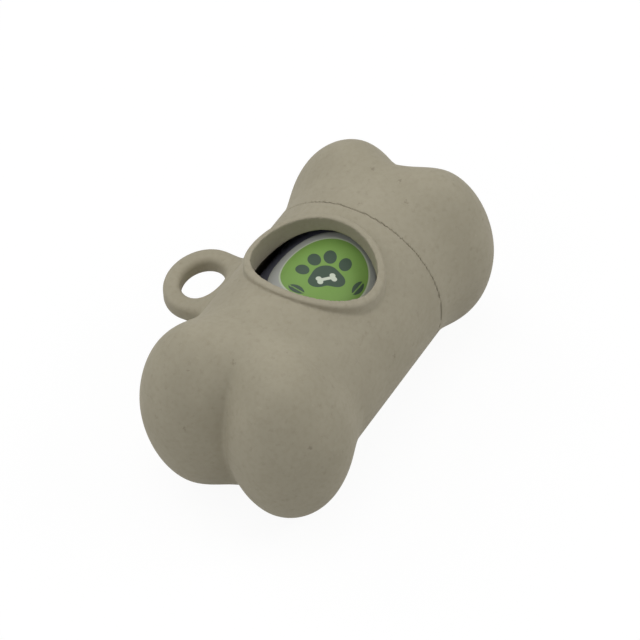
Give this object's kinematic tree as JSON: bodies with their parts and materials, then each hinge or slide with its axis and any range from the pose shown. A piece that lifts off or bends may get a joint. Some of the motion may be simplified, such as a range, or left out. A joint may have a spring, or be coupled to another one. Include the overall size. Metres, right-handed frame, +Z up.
{
  "type": "waste bag dispenser",
  "caption": "Bone-shaped dispenser for a roll of waste bags, with an oval window to draw them through, a pull-off lobed cap and a moulded side loop for hanging.",
  "frame": {"origin": "centre of the bounding box in plan, on the surface it stands on", "axes": "+X along the bone from the body's lobes to the cap's, +Y towards the hanging loop, +Z up through the window"},
  "size_m": [0.0846, 0.0572, 0.041],
  "materials": {
    "straw_plastic": "matt moulded plastic with fine plant fibre, sparse dark specks and pale flecks",
    "bag_film": "thin dark film with a soft sheen, wound in flat folds",
    "core_paper": "plain wound paper tube",
    "label_film": "printed green label with a pale border"
  },
  "bodies": {
    "body": {"body_shell": "straw_plastic"},
    "cap": {"cap_shell": "straw_plastic"},
    "roll": {"roll_core": "core_paper", "bag_01": "bag_film", "bag_02": "bag_film", "bag_03": "bag_film", "bag_04": "bag_film", "bag_05": "bag_film", "bag_06": "bag_film", "bag_07": "bag_film", "bag_08": "bag_film", "bag_09": "bag_film", "bag_10": "bag_film", "bag_11": "bag_film", "bag_12": "bag_film", "bag_13": "bag_film", "bag_14": "bag_film", "bag_15": "bag_film", "roll_label": "label_film"}
  },
  "joints": [
    {"name": "cap_pull", "type": "slide", "parent": "body", "child": "cap", "axis": [1, 0, 0], "range_m": [0, 0.06]},
    {"name": "roll_spin", "type": "hinge", "parent": "body", "child": "roll", "pos_m": [0.00013, -0.0059, 0.01967], "axis": [1, 0, 0], "continuous": true}
  ]
}
